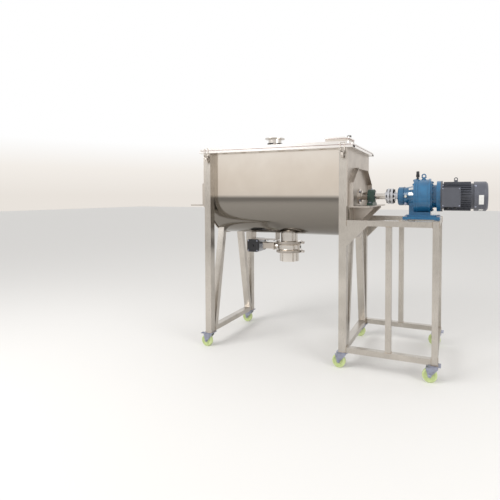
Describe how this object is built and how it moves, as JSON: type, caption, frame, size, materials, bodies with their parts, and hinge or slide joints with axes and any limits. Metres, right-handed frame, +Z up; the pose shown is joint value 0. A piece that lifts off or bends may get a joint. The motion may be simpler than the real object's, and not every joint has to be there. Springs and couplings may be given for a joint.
{
  "type": "ribbon blender",
  "caption": "Horizontal ribbon blender: U-shaped trough with helical ribbon agitator, hinged lid, butterfly discharge and geared motor on a castered tube frame.",
  "frame": {"origin": "on the floor under the middle of the machine's bounding box", "axes": "+X along the agitator shaft towards the motor, +Y towards the lid hinges, +Z up"},
  "size_m": [2.877, 1.024, 2.159],
  "materials": {
    "stainless_tube": "brushed square tube",
    "polished_stainless": "mirror to satin polished sheet",
    "stainless_plate": "cut plate, satin",
    "stainless_turned": "turned, satin",
    "stainless_cast": "cast, tumbled",
    "red_silicone": "moulded, matt",
    "green_casting": "painted casting, semi-gloss",
    "blue_casting": "painted casting, gloss",
    "grey_casting": "painted casting, semi-gloss",
    "grey_sheet": "painted pressed sheet",
    "core_steel": "laminations and shaft",
    "zinc_bolts": "zinc plated",
    "zinc_plate": "zinc plated, bluish",
    "black_fittings": "black",
    "black_caps": "black moulded",
    "black_bolts": "black oxide",
    "bright_steel": "machined bright",
    "anodised_aluminium": "hard anodised",
    "fan_plastic": "moulded",
    "polyurethane": "pale green cast tread",
    "red_pedal": "pressed steel"
  },
  "bodies": {
    "machine": {"trough_frame": "stainless_tube", "stand_frame": "stainless_tube", "trough_shell": "polished_stainless", "end_plates": "polished_stainless", "trough_rim": "stainless_tube", "lid_gasket": "red_silicone", "bearing_brackets": "stainless_plate", "shaft_seals": "stainless_turned", "pillow_blocks": "green_casting", "frame_bolts": "zinc_bolts", "gearbox_output_housing": "blue_casting", "gearbox_ring_case": "blue_casting", "gearbox_input_cover": "blue_casting", "gearbox_fittings": "black_fittings", "motor_frame": "grey_casting", "terminal_box": "grey_casting", "fan_cover": "grey_sheet", "motor_stator": "core_steel", "outlet_stub": "polished_stainless", "butterfly_body": "polished_stainless", "valve_clamps": "stainless_cast", "outlet_spout": "polished_stainless", "actuator_body": "anodised_aluminium", "actuator_caps": "black_caps", "actuator_mount": "stainless_plate", "lid_hinge_leaves": "stainless_plate", "latch_bases": "stainless_plate", "caster_plates": "zinc_plate"},
    "agitator": {"agitator_shaft": "stainless_turned", "outer_ribbons": "polished_stainless", "inner_ribbons": "polished_stainless", "agitator_arms": "stainless_turned", "coupling_flanges": "bright_steel", "coupling_pins": "black_bolts", "gearbox_output_shaft": "bright_steel"},
    "rotor": {"motor_rotor": "core_steel", "cooling_fan": "fan_plastic"},
    "cycloid_disc": {"cycloid_disc": "core_steel"},
    "lid": {"lid_panel": "polished_stainless", "inlet_port": "stainless_turned", "hatch_curb": "stainless_plate"},
    "hatch": {"hatch_cover": "polished_stainless"},
    "left_lever": {"left_latch_lever": "stainless_plate"},
    "right_lever": {"right_latch_lever": "stainless_plate"},
    "left_bail": {"left_latch_bail": "stainless_turned"},
    "right_bail": {"right_latch_bail": "stainless_turned"},
    "discharge_disc": {"valve_disc": "polished_stainless"},
    "pedal": {"brake_pedal": "red_pedal"},
    "left_front_swivel": {"left_front_caster_fork": "zinc_plate"},
    "left_front_wheel": {"left_front_caster_wheel": "polyurethane"},
    "left_rear_swivel": {"left_rear_caster_fork": "zinc_plate"},
    "left_rear_wheel": {"left_rear_caster_wheel": "polyurethane"},
    "middle_front_swivel": {"middle_front_caster_fork": "zinc_plate"},
    "middle_front_wheel": {"middle_front_caster_wheel": "polyurethane"},
    "middle_rear_swivel": {"middle_rear_caster_fork": "zinc_plate"},
    "middle_rear_wheel": {"middle_rear_caster_wheel": "polyurethane"},
    "right_front_swivel": {"right_front_caster_fork": "zinc_plate"},
    "right_front_wheel": {"right_front_caster_wheel": "polyurethane"},
    "right_rear_swivel": {"right_rear_caster_fork": "zinc_plate"},
    "right_rear_wheel": {"right_rear_caster_wheel": "polyurethane"}
  },
  "joints": [
    {"name": "agitator_spin", "type": "hinge", "parent": "machine", "child": "agitator", "pos_m": [-0.4885, 0, 1.572], "axis": [1, 0, 0], "continuous": true},
    {"name": "motor_spin", "type": "hinge", "parent": "machine", "child": "rotor", "pos_m": [1.2, 0, 1.572], "axis": [1, 0, 0], "continuous": true},
    {"name": "cycloid_turn", "type": "hinge", "parent": "rotor", "child": "cycloid_disc", "pos_m": [0.8665, 0.0022, 1.572], "axis": [1, 0, 0], "continuous": true},
    {"name": "lid_hinge", "type": "hinge", "parent": "machine", "child": "lid", "pos_m": [-0.4885, 0.501, 2.035], "axis": [-1, 0, 0], "range_deg": [0, 95]},
    {"name": "hatch_hinge", "type": "hinge", "parent": "lid", "child": "hatch", "pos_m": [0.1175, -0.04, 2.117], "axis": [-1, 0, 0], "range_deg": [0, 110]},
    {"name": "discharge_turn", "type": "hinge", "parent": "machine", "child": "discharge_disc", "pos_m": [-0.4885, 0, 1.032], "axis": [1, 0, 0], "range_deg": [0, 90]},
    {"name": "left_lever_turn", "type": "hinge", "parent": "machine", "child": "left_lever", "pos_m": [-1.2035, -0.49, 1.978], "axis": [-1, 0, 0], "range_deg": [0, 110]},
    {"name": "left_bail_turn", "type": "hinge", "parent": "left_lever", "child": "left_bail", "pos_m": [-1.2035, -0.494, 1.966], "axis": [1, 0, 0], "range_deg": [0, 143]},
    {"name": "right_lever_turn", "type": "hinge", "parent": "machine", "child": "right_lever", "pos_m": [0.2265, -0.49, 1.978], "axis": [-1, 0, 0], "range_deg": [0, 110]},
    {"name": "right_bail_turn", "type": "hinge", "parent": "right_lever", "child": "right_bail", "pos_m": [0.2265, -0.494, 1.966], "axis": [1, 0, 0], "range_deg": [0, 143]},
    {"name": "left_front_swivel_turn", "type": "hinge", "parent": "machine", "child": "left_front_swivel", "pos_m": [-1.2035, -0.435, 0.139], "axis": [0, 0, 1], "continuous": true},
    {"name": "left_front_wheel_spin", "type": "hinge", "parent": "left_front_swivel", "child": "left_front_wheel", "pos_m": [-1.2415, -0.435, 0.0625], "axis": [0, 1, 0], "continuous": true},
    {"name": "left_rear_swivel_turn", "type": "hinge", "parent": "machine", "child": "left_rear_swivel", "pos_m": [-1.2035, 0.435, 0.139], "axis": [0, 0, 1], "continuous": true},
    {"name": "left_rear_wheel_spin", "type": "hinge", "parent": "left_rear_swivel", "child": "left_rear_wheel", "pos_m": [-1.2415, 0.435, 0.0625], "axis": [0, 1, 0], "continuous": true},
    {"name": "middle_front_swivel_turn", "type": "hinge", "parent": "machine", "child": "middle_front_swivel", "pos_m": [0.2265, -0.435, 0.139], "axis": [0, 0, 1], "continuous": true},
    {"name": "middle_front_wheel_spin", "type": "hinge", "parent": "middle_front_swivel", "child": "middle_front_wheel", "pos_m": [0.1885, -0.435, 0.0625], "axis": [0, 1, 0], "continuous": true},
    {"name": "middle_rear_swivel_turn", "type": "hinge", "parent": "machine", "child": "middle_rear_swivel", "pos_m": [0.2265, 0.435, 0.139], "axis": [0, 0, 1], "continuous": true},
    {"name": "middle_rear_wheel_spin", "type": "hinge", "parent": "middle_rear_swivel", "child": "middle_rear_wheel", "pos_m": [0.1885, 0.435, 0.0625], "axis": [0, 1, 0], "continuous": true},
    {"name": "right_front_swivel_turn", "type": "hinge", "parent": "machine", "child": "right_front_swivel", "pos_m": [1.0225, -0.445, 0.139], "axis": [0, 0, 1], "continuous": true},
    {"name": "right_front_wheel_spin", "type": "hinge", "parent": "right_front_swivel", "child": "right_front_wheel", "pos_m": [0.9845, -0.445, 0.0625], "axis": [0, 1, 0], "continuous": true},
    {"name": "right_rear_swivel_turn", "type": "hinge", "parent": "machine", "child": "right_rear_swivel", "pos_m": [1.0225, 0.445, 0.139], "axis": [0, 0, 1], "continuous": true},
    {"name": "right_rear_wheel_spin", "type": "hinge", "parent": "right_rear_swivel", "child": "right_rear_wheel", "pos_m": [0.9845, 0.445, 0.0625], "axis": [0, 1, 0], "continuous": true},
    {"name": "brake_pedal_press", "type": "hinge", "parent": "left_front_swivel", "child": "pedal", "pos_m": [-1.2655, -0.435, 0.127], "axis": [0, -1, 0], "range_deg": [0, 12], "stiffness_Nm_per_rad": 0.5, "springref_deg": -11.46}
  ],
  "couplings": [
    {"joint": "motor_spin", "follows": "agitator_spin", "ratio": -35},
    {"joint": "cycloid_turn", "follows": "agitator_spin", "ratio": 36},
    {"joint": "left_bail_turn", "follows": "left_lever_turn", "ratio": 1.3},
    {"joint": "right_bail_turn", "follows": "right_lever_turn", "ratio": 1.3}
  ]
}
